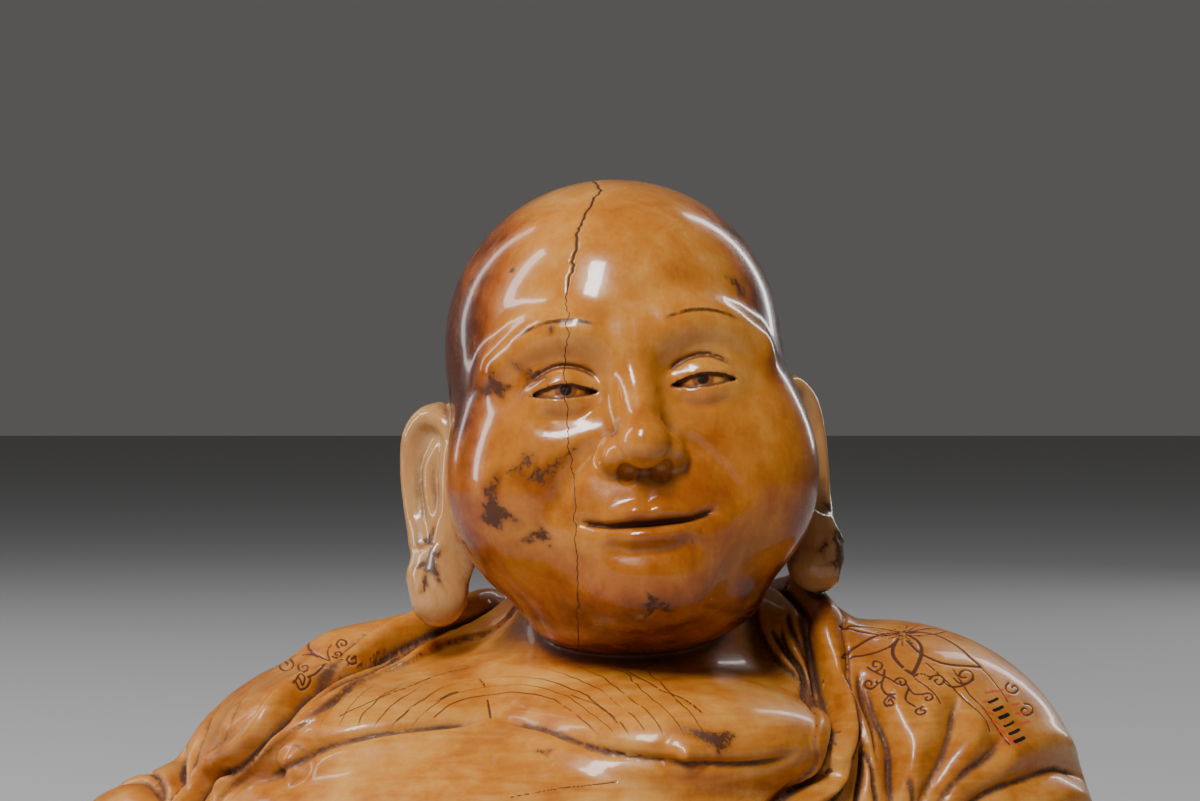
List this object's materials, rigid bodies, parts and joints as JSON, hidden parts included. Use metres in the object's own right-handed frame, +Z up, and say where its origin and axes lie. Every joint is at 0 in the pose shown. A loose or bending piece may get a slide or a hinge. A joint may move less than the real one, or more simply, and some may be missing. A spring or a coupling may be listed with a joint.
{
  "type": "buddha bust carving",
  "caption": "Polished amber ivory bust of a bald, long-eared buddha with a bare chest and an open flowered robe, cut flat below to stand on a shelf.",
  "frame": {"origin": "middle of the flat underside's box, on the plane the bust stands on", "axes": "+Z up through the crown, the figure faces -Y, +X towards the shoulder with the flowered robe"},
  "size_m": [0.1463, 0.0913, 0.0966],
  "materials": {
    "ivory": "polished aged elephant ivory, honey amber with brown stain and a dark ageing crack"
  },
  "bodies": {
    "root": {"buddha_bust": "ivory"}
  },
  "joints": []
}
